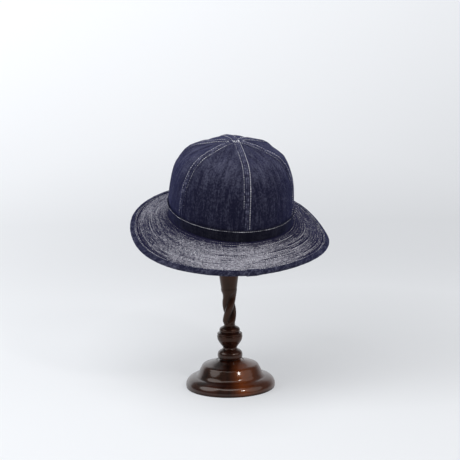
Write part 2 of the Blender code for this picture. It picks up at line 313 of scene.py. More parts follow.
def dent_depth(azimuth, radius, height):
    depth = 0.0
    for dent_degrees, dent_height, reach, deep in CROWN_DENTS_MM:
        turn = turn_between(azimuth, math.radians(dent_degrees))
        away = math.hypot(turn * radius, height - dent_height * MM) / (reach * MM)
        if away < HILL_END:
            depth += deep * MM * hill(away, 0, 1)
    return depth


def cloth_waves(azimuth, height):
    """Slow unevenness of worn cloth, longer up and down than round."""
    slow = ring_noise(azimuth, 2.4, height * 11) * SLOW_WAVE
    return slow + ring_noise(azimuth, 11, height * 40) * QUICK_WAVE


print("deepest dent at the front", max(row[3] for row in CROWN_DENTS_MM[:4]), "mm")

# %% [markdown]
# Now one function can say where the crown's cloth is, from an azimuth and a level that runs from
# 0 at the foot to 1 at the apex. Seams, folds and waves lift the place along the surface's normal.

# %% The crown's surface
SEAM_BOW = math.radians(-1.5)
SEAM_BOW_TOP = 118 * MM
SEAM_BOW_SPREAD = math.radians(50)


def seam_bow(azimuth, height):
    """The front seam isn't sewn quite straight: it bows aside halfway up, and its cloth follows."""
    climb = min(max(height / SEAM_BOW_TOP, 0.0), 1.0)
    return SEAM_BOW * math.sin(math.pi * climb) * hill(turn_between(azimuth, 0), 0, SEAM_BOW_SPREAD)


def crown_point(azimuth, level, lift=0.0, relief=True):
    """A point of the crown's outer face in the hat's own frame."""
    start, end = gore_of(azimuth)
    turn = azimuth % math.tau
    across = 2 * (turn - start) / (end - start) - 1
    radius, height, outward, upward = profile_at(level)
    bent = radius * (1 - gore_flatness(height) * (1 - across * across)) - foot_tuck(azimuth, height)
    lift -= dent_depth(azimuth, radius, height)
    if relief:
        lift += seam_relief(azimuth, radius, height)
        lift -= fold_depth(azimuth, level, radius)
        lift += cloth_waves(azimuth, height) * smooth_step(2 * MM, 30 * MM, radius)
    return ring_point(azimuth + seam_bow(azimuth, height), bent + lift * outward, height + lift * upward)


print("a point of the crown", rounded(crown_point(0.3, 0.5)))

# %% [markdown]
# Rows of stitching run round the brim, and between two rows the cloth stands up as a soft rib.
# The ribs aren't even: thread tension and wear make some deeper, and here and there a valley
# gapes. A table gives those runs, and noise does the rest.

# %% Rows and ribs of the brim
BRIM_WIDTH = 64.4 * MM
BRIM_WALL = 2.2 * MM
BINDING_WIDTH = 9.2 * MM
FIRST_ROW = 5.2 * MM
ROW_PITCH = 3.55 * MM
ROW_COUNT = 15
RIB_HEIGHT = 0.45 * MM
SLITS = (
    # where a valley gapes: azimuth from and to in degrees, row of stitching
    (-26, -4, 0.2), (-25, -5, 0.9), (-22, -7, 1.6), (-27, 0, 6.5), (4, 20, 9.6), (16, 36, 8.7),
    (30, 58, 7.4), (12, 34, 6.3), (30, 58, 5.4), (20, 60, 3.0), (-78, -60, 5), (-140, -62, 13.1),
    (28, 62, 13.3), (56, 112, 13.3), (34, 60, 11.6), (150, 190, 5), (215, 240, 8),
)
SLIT_DEPTH = 0.7 * MM
SLIT_WIDTH = 0.29
SLIT_END = 2.5


def run_share(azimuth, start, stop, full):
    """1 in the middle of a run between two azimuths in degrees, and 0 beyond its ends."""
    middle, half = math.radians(start + stop) / 2, math.radians(stop - start) / 2
    return 1 - smooth_step(full, 1.0, abs(turn_between(azimuth, middle)) / half)


def slit_share(azimuth, rows):
    """How far a valley gapes here, from 0 to 1."""
    share = 0.0
    for start, stop, row in SLITS:
        if abs(rows - row) < SLIT_END * SLIT_WIDTH:
            share = max(share, hill(rows, row, SLIT_WIDTH) * run_share(azimuth, start, stop, 0.6))
    return share


def rib_relief(azimuth, out, side):
    """How far the quilted cloth stands up between two rows of stitching."""
    rows = (out - FIRST_ROW) / ROW_PITCH
    if rows < 0 or rows > ROW_COUNT - 1:
        return 0.0
    rib = math.floor(rows)
    arch = math.sin(math.pi * (rows - rib)) ** 0.75
    uneven = ring_noise(azimuth, 3, rib * 1.7 + side * 9)
    pucker = ring_noise(azimuth, (CROWN_RADIUS + out) * 300, side * 5.0)
    gape = SLIT_DEPTH * slit_share(azimuth, rows) if side == 0 else 0.0
    return RIB_HEIGHT * arch * (0.95 + 0.5 * uneven + 0.7 * pucker) - gape


print("a rib at the front stands", round(rib_relief(0.0, FIRST_ROW + ROW_PITCH / 2, 0) / MM, 2), "mm high")

# %% [markdown]
# The brim leaves the crown at a slope that changes round the hat, because the stiff quilted cloth
# has relaxed more on one side. Twelve slopes, and a smooth curve through them, bend it.

# %% The brim's surface
BRIM_SLOPES = (
    # degrees below the plane of the crown's lower edge, at equal steps from the front towards +X
    22.2, 18.4, 21.9,  # front
    27.4, 19.3, 13.0,  # right
    14.0, 19.0, 25.7,  # back
    36.3, 34.7, 27.5,  # left
)
SWAY = 0.4 * MM


def brim_point(azimuth, out, lift=0.0):
    """A point above or below the brim, measured out along its slope from the crown."""
    radius = CROWN_RADIUS - foot_tuck(azimuth, 0) * (1 - max(out, 0) / BRIM_WIDTH)
    if out <= 0:
        return ring_point(azimuth, radius + out, lift)
    slope = math.radians(around(BRIM_SLOPES, azimuth))
    lift += ring_noise(azimuth, 1.6, out * 9) * SWAY * smooth_step(0, 30 * MM, out)
    radius += out * math.cos(slope) + lift * math.sin(slope)
    return ring_point(azimuth, radius, -out * math.sin(slope) + lift * math.cos(slope))


print("the front of the brim", rounded(brim_point(0.0, BRIM_WIDTH)))

# %% [markdown]
# Colour and gloss come from nodes that work them out at each point, so no picture is needed and
# nothing blurs close by. Nodes can be wired by hand in the editor. A small class does the same
# wiring here in a few words for every material.

# %% Helpers for nodes
class Wires:
    """Short helpers that add nodes to one tree."""

    def __init__(self, tree):
        self.tree = tree

    def put(self, kind, **settings):
        node = self.tree.nodes.new(f"ShaderNode{kind}")
        for key, value in settings.items():
            setattr(node, key, value)
        return node

    def feed(self, socket, value):
        """Links a socket to another node's output, or sets its own value."""
        if isinstance(value, bpy.types.NodeSocket):
            self.tree.links.new(value, socket)
        else:
            socket.default_value = value

    def fill(self, node, values):
        for label, value in values.items():
            self.feed(node.inputs[label], value)
        return node

    def math(self, operation, first, second=0.0, clamp=False):
        node = self.put("Math", operation=operation, use_clamp=clamp)
        return self.fill(node, {0: first, 1: second}).outputs[0]

    def times(self, first, second):
        return self.math("MULTIPLY", first, second)

    def plus(self, first, second, clamp=False):
        return self.math("ADD", first, second, clamp)

    def minus(self, first, second):
        return self.math("SUBTRACT", first, second)

    def parts(self, vector):
        return self.fill(self.put("SeparateXYZ"), {0: vector}).outputs

    def noise(self, vector, scale, detail, roughness, stretch=(1, 1, 1)):
        mapping = self.fill(self.put("Mapping"), {"Vector": vector, "Scale": stretch})
        values = {"Vector": mapping.outputs[0], "Scale": scale, "Detail": detail, "Roughness": roughness}
        return self.fill(self.put("TexNoise"), values).outputs["Fac"]

    def span(self, value, low, high, to_low=0.0, to_high=1.0):
        """Maps the span from low to high onto another, and holds the ends."""
        values = {"Value": value, "From Min": low, "From Max": high, "To Min": to_low, "To Max": to_high}
        return self.fill(self.put("MapRange", clamp=True), values).outputs["Result"]

    def mix(self, factor, first, second):
        node = self.put("Mix", data_type="RGBA", clamp_factor=True)
        return self.fill(node, {"Factor": factor, 6: first, 7: second}).outputs[2]

    def bump(self, height, strength, distance):
        values = {"Strength": strength, "Distance": distance, "Height": height}
        return self.fill(self.put("Bump"), values).outputs[0]

    def attribute(self, name):
        return self.put("Attribute", attribute_name=name).outputs["Fac"]


def new_material(name):
    """A material, the wires of its tree and its shader."""
    made = bpy.data.materials.new(name)
    made.use_nodes = True
    return made, Wires(made.node_tree), made.node_tree.nodes["Principled BSDF"]


print("helpers for nodes:", [name for name in vars(Wires) if not name.startswith("_")])


# %% [markdown]
# Denim is a twill: dark blue warp threads run along the cloth and pale weft threads cross
# beneath them. Seen close it has a fine slanting rib, and from further off long uneven streaks,
# because warp yarn is thick and thin. Wear takes the dye off what stands up. One node group holds
# this for every denim piece, and each material sets its own colours.

# %% A node group for denim
WEAVE_INPUTS = (("Cloth", "Vector"), ("Fade", "Float"), ("Dark", "Color"), ("Pale", "Color"),
                ("Streaks", "Float"), ("Specks", "Float"))
WEAVE_OUTPUTS = (("Color", "Color"), ("Height", "Float"), ("Roughness", "Float"))
TWILL_PITCH = 0.9 * MM


def denim_group():
    group = bpy.data.node_groups.new("denim_weave", "ShaderNodeTree")
    for way, sockets in (("INPUT", WEAVE_INPUTS), ("OUTPUT", WEAVE_OUTPUTS)):
        for label, kind in sockets:
            group.interface.new_socket(label, in_out=way, socket_type=f"NodeSocket{kind}")
    start = group.nodes.new("NodeGroupInput").outputs
    end = group.nodes.new("NodeGroupOutput")
    wires = Wires(group)
    cloth = start["Cloth"]
    parts = wires.parts(cloth)
    slant = wires.plus(parts[0], wires.times(parts[1], 0.75))
    twill = wires.span(wires.math("SINE", wires.times(slant, math.tau / TWILL_PITCH)), -1, 1)
    long_streak = wires.noise(cloth, 1.0, 3.0, 0.6, (170, 18, 1))
    fine_streak = wires.noise(cloth, 1.0, 2.0, 0.6, (620, 42, 1))
    slub = wires.noise(cloth, 1.0, 2.0, 0.6, (520, 260, 1))
    grain = wires.noise(cloth, 1.0, 2.0, 0.7, (330, 270, 1))
    blotch = wires.noise(cloth, 70.0, 3.0, 0.6)
    streak = wires.times(wires.span(long_streak, 0.36, 0.68, -0.5, 1.0), 0.55)
    fine = wires.times(wires.span(fine_streak, 0.35, 0.72, -0.45, 0.8), 0.5)
    speck = wires.plus(wires.span(slub, 0.42, 0.70, -0.30, 0.70), wires.span(grain, 0.36, 0.66, -0.75, 0.90))
    patch = wires.times(wires.span(blotch, 0.35, 0.68, -0.20, 0.28), start["Streaks"])
    worn = wires.times(wires.plus(streak, fine), start["Streaks"])
    worn = wires.plus(worn, wires.times(speck, start["Specks"]))
    worn = wires.plus(wires.plus(worn, patch), start["Fade"])
    worn = wires.plus(worn, wires.span(twill, 0, 1, -0.07, 0.10), clamp=True)
    height = wires.plus(wires.times(twill, 0.5), wires.times(fine_streak, 1.6))
    wires.fill(end, {
        "Color": wires.mix(worn, start["Dark"], start["Pale"]),
        "Height": wires.plus(height, wires.times(slub, 2.2)),
        "Roughness": wires.span(worn, 0, 1, 0.84, 0.97),
    })
    return group


DENIM = denim_group()
print("denim group has", len(DENIM.nodes), "nodes")

# %% [markdown]
# Each cloth piece carries a UV map in metres, so the weave keeps its scale, and an attribute that
# says how worn each spot is, with painted light and shade added in: ribs, seam edges and shoulders
# lose their dye first.

# %% Denim materials
def denim_material(name, dark, pale, streaks, specks, sheen, bump):
    made, wires, shader = new_material(name)
    weave = wires.fill(wires.put("Group", node_tree=DENIM), {
        "Cloth": wires.put("UVMap", uv_map="cloth").outputs[0],
        "Fade": wires.attribute("worn"),
        "Dark": (*dark, 1),
        "Pale": (*pale, 1),
        "Streaks": streaks,
        "Specks": specks,
    }).outputs
    wires.fill(shader, {
        "Base Color": weave["Color"],
        "Roughness": weave["Roughness"],
        "Normal": wires.bump(weave["Height"], bump, 0.25 * MM),
        "Specular IOR Level": 0.06,
        "Sheen Weight": sheen,
        "Sheen Roughness": 0.45,
        "Sheen Tint": (0.22, 0.26, 1.0, 1),
    })
    print(name, "fades from", dark, "to", pale)
    return made


CROWN_DENIM = denim_material(
    "crown_denim", (0.008, 0.008, 0.022), (0.138, 0.140, 0.206), 0.26, 0.14, 0.11, 0.8)
BAND_DENIM = denim_material(
    "band_denim", (0.005, 0.005, 0.010), (0.070, 0.070, 0.090), 0.22, 0.10, 0.10, 0.5)
BRIM_DENIM = denim_material(
    "brim_denim", (0.011, 0.010, 0.027), (0.460, 0.450, 0.492), 0.25, 0.32, 0.12, 0.7)
BINDING_CLOTH = denim_material(
    "binding_cloth", (0.008, 0.008, 0.020), (0.165, 0.168, 0.235), 0.30, 0.18, 0.14, 0.6)

# %% [markdown]
# Sewing thread is twisted cotton: pale, matt and a little uneven in colour along its length.

# %% Thread materials
def thread_material(name, pale, dull):
    made, wires, shader = new_material(name)
    place = wires.put("TexCoord").outputs["Object"]
    uneven = wires.noise(place, 260.0, 2.0, 0.6)
    strand = wires.noise(place, 2600.0, 1.0, 0.5)
    shine = wires.plus(wires.span(uneven, 0.35, 0.65, -0.35, 0.35), wires.attribute("bold"), clamp=True)
    wires.fill(shader, {
        "Base Color": wires.mix(shine, (*dull, 1), (*pale, 1)),
        "Normal": wires.bump(strand, 0.4, 0.1 * MM),
        "Roughness": 0.8,
    })
    print(name, "is", pale, "where it lies on top")
    return made


TOP_THREAD = thread_material("topstitch_thread", (0.80, 0.80, 0.86), (0.08, 0.08, 0.13))
BRIM_THREAD = thread_material("brim_thread", (0.82, 0.81, 0.86), (0.05, 0.05, 0.08))

# %% [markdown]
# A cloth piece starts as a flat pattern. A grid, or a section spun into a ring, gets its thickness
# while it is still flat, and then each vertex is bent onto the form. The UV map and the wear are
# worked out from the flat places first.

# %% Helpers that finish a piece
def make_object(name, made, material):
    mesh = bpy.data.meshes.new(name)
    made.to_mesh(mesh)
    made.free()
    mesh.shade_smooth()
    mesh.materials.append(material)
    return add_object(name, mesh)


def finished(name, made, material):
    piece = make_object(name, made, material)
    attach(piece, "root")
    print(name, sum(len(face.vertices) - 2 for face in piece.data.polygons), "triangles")
    return piece


def bent_piece(name, flat, bend, cloth_place, wear_and_painted_light, material):
    """Bends a flat pattern onto the hat. Each rule gets the vertex's flat place."""
    worn = flat.verts.layers.float.new("worn")
    cloth = flat.loops.layers.uv.new("cloth")
    for point in flat.verts:
        point[worn] = wear_and_painted_light(point.co)
    for face in flat.faces:
        first = face.loops[0].vert.co
        for corner in face.loops:
            corner[cloth].uv = cloth_place(corner.vert.co, first)
    for point in flat.verts:
        point.co = HAT @ bend(point.co)
    bmesh.ops.recalc_face_normals(flat, faces=flat.faces)
    return finished(name, flat, material)


# %% [markdown]
# A gore's pattern is a grid. The brim, the binding and the band are rings: a section is drawn
# once and spun round a circle of radius 1, so a ring's place keeps its azimuth, how far out it
# lies and its lift. The real brim is cut flat as well, and takes its bends later.

# %% Flat patterns
RING_PARTS = 20
MERGE_DISTANCE = 0.01 * MM


def verts_in(made):
    return [item for item in made["geom"] if isinstance(item, bmesh.types.BMVert)]


def draw_line(mesh, places, closed=False):
    """New vertices at these places, and the edges that join them in order."""
    points = [mesh.verts.new(place) for place in places]
    following = points[1:] + points[:1] if closed else points[1:]
    return points, [mesh.edges.new(pair) for pair in zip(points, following)]


def thick_grid(across, up):
    """A flat grid from -1 to 1 each way, with an inner copy at -1 in Z joined round its edge."""
    flat = bmesh.new()
    bmesh.ops.create_grid(flat, x_segments=across, y_segments=up, size=1.0)
    inner = verts_in(bmesh.ops.extrude_face_region(flat, geom=flat.faces[:]))
    bmesh.ops.translate(flat, verts=inner, vec=(0, 0, -1))
    return flat


def spun_ring(section, steps):
    """A flat section of (out, lift) points spun round a circle of radius 1.

    One part of the turn is spun and then copied round, which is quicker than a full spin.
    """
    spun = bmesh.new()
    points, edges = draw_line(spun, [(1.0 + out, 0, lift) for out, lift in section], closed=True)
    angle = math.tau / RING_PARTS
    bmesh.ops.spin(
        spun, geom=points + edges, cent=(0, 0, 0), axis=(0, 0, 1), angle=angle, steps=steps // RING_PARTS,
    )
    part = spun.verts[:] + spun.edges[:] + spun.faces[:]
    for copy in range(1, RING_PARTS):
        moved = verts_in(bmesh.ops.duplicate(spun, geom=part))
        bmesh.ops.rotate(spun, verts=moved, matrix=Matrix.Rotation(angle * copy, 3, "Z"))
    bmesh.ops.remove_doubles(spun, verts=spun.verts, dist=MERGE_DISTANCE)
    return spun


def ring_place(point):
    """Azimuth, distance out and lift of a spun vertex before it is bent."""
    return azimuth_of(point), math.hypot(point.x, point.y) - 1.0, point.z


def unrolled(point, first):
    """A spun vertex's place, with its azimuth counted on from the first corner of its face."""
    azimuth, out, lift = ring_place(point)
    return azimuth_of(first) + turn_between(azimuth, azimuth_of(first)), out, lift


print("a ring is spun in", RING_PARTS, "parts of", round(360 / RING_PARTS), "degrees")


# %% [markdown]
# The crown. Each gore is one grid, finer towards its seams, with the inner face at the wall's
# thickness. The dye has worn off along the seam strips and in a soft patch on each shoulder,
# painted light makes the upper crown paler, and it is darker towards its foot.

# %% Sew the crown's gores
GORE_NAMES = ("front_right", "right", "back_right", "back_left", "left", "front_left")
GORE_COLUMNS = 60
GORE_LEVELS = 104
SEAM_OPENING = 0.06 * MM
WIDEST_OPENING = 0.1
COLUMN_CROWDING = 0.35
GORE_LENGTH = 0.19


def crown_gore(name, start, end):
    middle, half_span = (start + end) / 2, (end - start) / 2

    def place(point):
        level = (point.y + 1) / 2
        radius = profile_at(level)[0]
        across = point.x * (1 + COLUMN_CROWDING - COLUMN_CROWDING * point.x * point.x)
        opening = min(SEAM_OPENING / radius, WIDEST_OPENING)
        return middle + across * (half_span - opening), level, radius

    def bend(point):
        azimuth, level, radius = place(point)
        if point.z < -0.5:
            return crown_point(azimuth, level, -CROWN_WALL, relief=False)
        return crown_point(azimuth, level)

    def cloth_place(point, first):
        azimuth, level, radius = place(point)
        return (azimuth - middle) * radius + start, level * GORE_LENGTH

    def wear_and_painted_light(point):
        azimuth, level, radius = place(point)
        distance = min(azimuth - start, end - azimuth) * radius
        along = noise.noise(Vector((start * 7 + 3 * (azimuth > middle), level * 60, 7.0)))
        mottle = noise.noise(Vector((azimuth * 5, level * 9, 2.0)))
        edge = hill(distance, 1.3 * MM, 0.7 * MM) * (0.10 + 3.2 * max(along, 0.0))
        strip = hill(distance, SEAM_STRIP, 1.0 * MM) * (0.10 + 0.12 * along)
        shoulder = 0.14 * hill(level, 0.52, 0.12) * smooth_step(4 * MM, 14 * MM, distance) * (1.0 + mottle)
        # Top is painted light that makes the upper crown paler; low darkens the crown towards its foot.
        top, low = 0.12 * smooth_step(0.42, 0.75, level), -0.05 * smooth_step(0.35, 0.0, level)
        return edge + strip + shoulder + top + low

    return bent_piece(name, thick_grid(GORE_COLUMNS, GORE_LEVELS), bend, cloth_place, wear_and_painted_light,
                      CROWN_DENIM)


for name, (start, end) in zip(GORE_NAMES, GORES):
    gore = crown_gore(f"gore_{name}", start, end)
    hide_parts(f"crown_gore_{name}")

# %% [markdown]
# The brim. Its section runs out along the top with five points to each rib, round the edge inside
# the binding, and back along the underside with fewer, and one spin makes the ring.

# %% The brim's section and its bend
BRIM_STEPS = 620
TOP_POINTS_PER_ROW = 5
UNDER_POINTS_PER_ROW = 4
PRESSED_IN = 0.15 * MM


def is_top(lift):
    return lift > -BRIM_WALL / 2


def brim_section():
    edge = BRIM_WIDTH - 1.0 * MM
    last_row = FIRST_ROW + ROW_PITCH * (ROW_COUNT - 1)

    def outs(per_row):
        ribs = [FIRST_ROW + ROW_PITCH * step / per_row for step in range((ROW_COUNT - 1) * per_row + 1)]
        return [-CROWN_WALL, 0.0, 1.7 * MM, 3.4 * MM] + ribs + [(last_row + edge) / 2, edge]

    under = [(out, -BRIM_WALL) for out in reversed(outs(UNDER_POINTS_PER_ROW))]
    return [(out, 0.0) for out in outs(TOP_POINTS_PER_ROW)] + under


def brim_bend(point):
    azimuth, out, lift = ring_place(point)
    if is_top(lift):
        return brim_point(azimuth, out, lift + rib_relief(azimuth, out, 0) - PRESSED_IN)
    return brim_point(azimuth, out, lift - rib_relief(azimuth, out, 1) + PRESSED_IN)


def brim_cloth_place(point, first):
    """Flat cloth that runs round the hat, so that the streaks follow the rows of stitching."""
    azimuth, out, lift = unrolled(point, first)
    return (out - lift * 20) * 1.5, azimuth * (CROWN_RADIUS + BRIM_WIDTH / 2)


print("brim section of", len(brim_section()), "points")

# %% [markdown]
# Wear gives the brim its grey look. The ribs rub pale, the rows between them keep their dye and get
# painted shade, and painted shade darkens the angle against the crown. One table says how far the
# dye has gone on each side, with painted light that makes the front paler, another how dark the
# painted shade in the angle is, and the brim is darker near the crown at the front left.

# %% Quilt the brim
BRIM_FADES_AND_LIGHT = (
    # how much dye the brim has lost, with painted light that makes the front paler, at equal steps from the
    # front towards +X
    0.37, 0.23, 0.00,  # front
    -0.16, -0.06, 0.04,  # right
    0.08, 0.19, 0.26,  # back
    -0.04, 0.20, 0.35,  # left
)
FOOT_SHADES = (
    # how much painted shade darkens the brim where it meets the crown, at the same steps
    0.46, 0.44, 0.30,  # front
    0.22, 0.20, 0.16,  # right
    0.12, 0.00, -0.10,  # back
    0.08, 0.38, 0.46,  # left
)
FOOT_SHADE_REACH = 25 * MM
PLAIN_FADE, CREST_WEAR_AND_SHADE, MOTTLE_FADE, ROW_FADE = -0.19, 0.28, 0.07, 0.16
SIDE_EDGE_DARK, BACK_EDGE_DARK, FRONT_LEFT_DARK, SLIT_SHADE = 0.26, 0.34, 0.28, 0.6
FRONT_LEFT_AZIMUTH, FRONT_LEFT_REACH = math.radians(-48), math.radians(42)


def brim_wear_and_painted_light(point):
    """Ribs between the rows are worn pale, and the rows themselves stay dark with painted shade."""
    azimuth, out, lift = ring_place(point)
    side = 0 if is_top(lift) else 1
    rows = (out - FIRST_ROW) / ROW_PITCH
    crest = 0.5 - 0.5 * math.cos(math.tau * rows) if 0 < rows < ROW_COUNT - 1 else 0.0
    radius = CROWN_RADIUS + out
    place = Vector((radius * math.sin(azimuth), radius * math.cos(azimuth), side * 3.0))
    mottle = noise.noise(place * 26) + 0.8 * noise.noise(place * 85)
    row_tone = ring_noise(azimuth, 4, math.floor(rows) * 5.3)
    # Crests are worn pale, and the valleys at the rows are darker with painted shade.
    fade = PLAIN_FADE + CREST_WEAR_AND_SHADE * crest + MOTTLE_FADE * mottle + ROW_FADE * row_tone
    facing = math.cos(azimuth)
    edge_dark = SIDE_EDGE_DARK * (1 - max(facing, 0) ** 2) + BACK_EDGE_DARK * max(-facing, 0)
    fade -= edge_dark * smooth_step(ROW_COUNT - 3, ROW_COUNT - 1, rows)
    # Painted shade in the angle where the brim meets the crown.
    fade -= around(FOOT_SHADES, azimuth) * (1 - smooth_step(0, FOOT_SHADE_REACH, out))
    # The brim is darker near the crown at the front left.
    front_left_share = 1 - smooth_step(0.4, 1.0, abs(turn_between(azimuth, FRONT_LEFT_AZIMUTH)) / FRONT_LEFT_REACH)
    fade -= FRONT_LEFT_DARK * front_left_share * (1 - smooth_step(2 * MM, 13 * MM, out))
    # Gaping valleys get painted shade on top of their real depth.
    if side == 0:
        fade -= SLIT_SHADE * slit_share(azimuth, rows)
    return fade + around(BRIM_FADES_AND_LIGHT, azimuth)


flat_brim = spun_ring(brim_section(), BRIM_STEPS)
brim = bent_piece("quilted_brim", flat_brim, brim_bend, brim_cloth_place, brim_wear_and_painted_light, BRIM_DENIM)
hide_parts("brim")

# %% [markdown]
# The binding is a bias strip folded over the brim's edge. Its two ends overlap at the front, under
# the seam, where the upper layer makes a small step.

# %% Fold the binding over the edge
BINDING_STEPS = 480
BINDING_THICKNESS = 0.9 * MM
BINDING_START = BRIM_WIDTH - BINDING_WIDTH
BINDING_GAP = 0.1 * MM
ROUND_STEPS = 10
JOIN_AZIMUTH = math.radians(-5.0)
JOIN_LENGTH, JOIN_RISE = math.radians(9.0), 0.004
JOIN_STEP = 0.9 * MM
BINDING_WAVES = 0.28 * MM
FACE_LIFT = 0.3 * MM
ROUND_START = BRIM_WIDTH - 3 * MM


def binding_section():
    above = 0.25 * MM + BINDING_THICKNESS
    below = -BRIM_WALL - above
    half = (above - below) / 2
    centre = BRIM_WIDTH - half
    flat_width = centre - BINDING_START
    section = [(BINDING_START, BINDING_GAP), (BINDING_START + 0.15 * MM, above * 0.8),
               (BINDING_START + 0.7 * MM, above)]
    section += [(BINDING_START + flat_width * share, above) for share in (0.3, 0.55, 0.8)]
    for step in range(ROUND_STEPS + 1):
        angle = math.pi / 2 - math.pi * step / ROUND_STEPS
        section.append((centre + half * math.cos(angle), above - half + half * math.sin(angle)))
    section += [(BINDING_START + flat_width * share, below) for share in (0.7, 0.3, 0.05)]
    inner = BRIM_WIDTH - 1.4 * MM
    section += [(out, -BRIM_WALL - BINDING_GAP) for out in (BINDING_START, inner)]
    return section + [(inner, BINDING_GAP)]


def binding_bend(point):
    azimuth, out, lift = ring_place(point)
    if out > ROUND_START or lift > FACE_LIFT or lift < -BRIM_WALL - FACE_LIFT:
        turn = turn_between(azimuth, JOIN_AZIMUTH)
        join = smooth_step(0, JOIN_RISE, turn) * (1 - smooth_step(JOIN_LENGTH * 0.6, JOIN_LENGTH, turn))
        swell = ring_noise(azimuth, 30, out * 160) * BINDING_WAVES + JOIN_STEP * join
        lift += swell if is_top(lift) else -swell
        out += swell * 0.6 * smooth_step(ROUND_START, BRIM_WIDTH, out)
    return brim_point(azimuth, out, lift)


def binding_place(point, first):
    """Cloth cut on the bias, so its threads run slanting."""
    azimuth, out, lift = unrolled(point, first)
    along = azimuth * (CROWN_RADIUS + BRIM_WIDTH)
    return (along + out) * 0.707, (along - out) * 0.707 + lift


def binding_wear(point):
    azimuth, out, lift = ring_place(point)
    edge = hill(out, BRIM_WIDTH, 1.2 * MM)
    fold = hill(out, BINDING_START, 0.8 * MM)
    return 0.10 * edge + 0.14 * ring_noise(azimuth, 14, out * 100) + 0.20 * fold


flat_binding = spun_ring(binding_section(), BINDING_STEPS)
binding = bent_piece("folded_binding", flat_binding, binding_bend, binding_place, binding_wear,
                     BINDING_CLOTH)
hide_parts("brim_binding")

# %% [markdown]
# The hat band is a plain strip round the foot of the crown. The raised seam strips under it show
# as faint upright ribs, and its lower edge disappears into the angle between crown and brim.

# %% Wrap the hat band
BAND_STEPS = 480
BAND_LEVELS = 14
BAND_TOP = 17.5 * MM
BAND_FOOT = -0.6 * MM
BAND_INSIDE = 0.75 * MM
BAND_THICKNESS = 1.3 * MM
BAND_ROW_HEIGHT = BAND_TOP - 1.9 * MM
BAND_ROW_DEPTH, BAND_ROW_WIDTH = 0.35 * MM, 0.9 * MM
BAND_WAVES = 0.3 * MM
RIDGE_HEIGHT, RIDGE_FLAT, RIDGE_END = 0.45 * MM, 5 * MM, 6.6 * MM
CROWN_FLARE = (CROWN_ROWS_MM[1][1] - CROWN_ROWS_MM[0][1]) / CROWN_ROWS_MM[1][0]


def band_section():
    outer = BAND_INSIDE + BAND_THICKNESS
    rise = BAND_TOP - BAND_FOOT
    section = [(BAND_INSIDE, BAND_FOOT), (outer, BAND_FOOT)]
    section += [(outer, BAND_FOOT + rise * step / BAND_LEVELS) for step in range(1, BAND_LEVELS)]
    section += [(outer - 0.15 * MM, BAND_TOP - 0.2 * MM), (outer - 0.6 * MM, BAND_TOP)]
    return section + [(BAND_INSIDE, BAND_TOP - 0.2 * MM)]


def band_bend(point):
    azimuth, out, height = ring_place(point)
    if out > BAND_INSIDE + 0.3 * MM:
        from_seam = min(abs(turn_between(azimuth, seam)) for seam in SEAMS) * CROWN_RADIUS
        out += RIDGE_HEIGHT * (1 - smooth_step(RIDGE_FLAT, RIDGE_END, from_seam))
        out += ring_noise(azimuth, 12, height * 70) * BAND_WAVES
        out -= BAND_ROW_DEPTH * hill(height, BAND_ROW_HEIGHT, BAND_ROW_WIDTH)
    radius = CROWN_RADIUS + out + CROWN_FLARE * height - foot_tuck(azimuth, height)
    return ring_point(azimuth, radius, height)


def band_place(point, first):
    azimuth, out, height = unrolled(point, first)
    return azimuth * CROWN_RADIUS, height + out


def band_wear(point):
    azimuth, out, height = ring_place(point)
    return 0.14 * hill(height, BAND_TOP, 1.0 * MM) + 0.10 * ring_noise(azimuth, 8, height * 60)


flat_band = spun_ring(band_section(), BAND_STEPS)
band = bent_piece("wrapped_band", flat_band, band_bend, band_place, band_wear, BAND_DENIM)
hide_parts("hat_band")

# %% [markdown]
# Stitches are real shapes here, because the brim's grey look comes from thousands of them. Each
# one is a small ball stretched along its row, lying in the valley that its thread pulled. A row is
# a path on the surface. It is walked at an even pace, and a stitch is set down at each step.

# %% Helpers for rows of stitches
THREAD_SINK = 0.3 * MM
BOLDEST = 2.0
TILT, LENGTH_CHANGE = 0.16, 0.15
STITCH_WAVES = (
    # how quickly each wave along a row changes, and its layer of noise: two for boldness, one wobble
    (0.17, 8.5), (1.37, 4.5), (0.71, 1.5),
)


def walk(path, samples, pace):
    """Places at an even pace along a path, as (point, direction)."""
    points = [path(step / samples) for step in range(samples + 1)]
    lengths = [0.0]
    for first, second in zip(points, points[1:]):
        lengths.append(lengths[-1] + (second - first).length)
    count = max(int(lengths[-1] / pace), 1)
    places, index = [], 0
    for step in range(count):
        wanted = (step + 0.5) * lengths[-1] / count
        while lengths[index + 1] < wanted:
            index += 1
        share = (wanted - lengths[index]) / (lengths[index + 1] - lengths[index])
        direction = points[index + 1] - points[index]
        places.append((points[index] + direction * share, direction.normalized()))
    return places


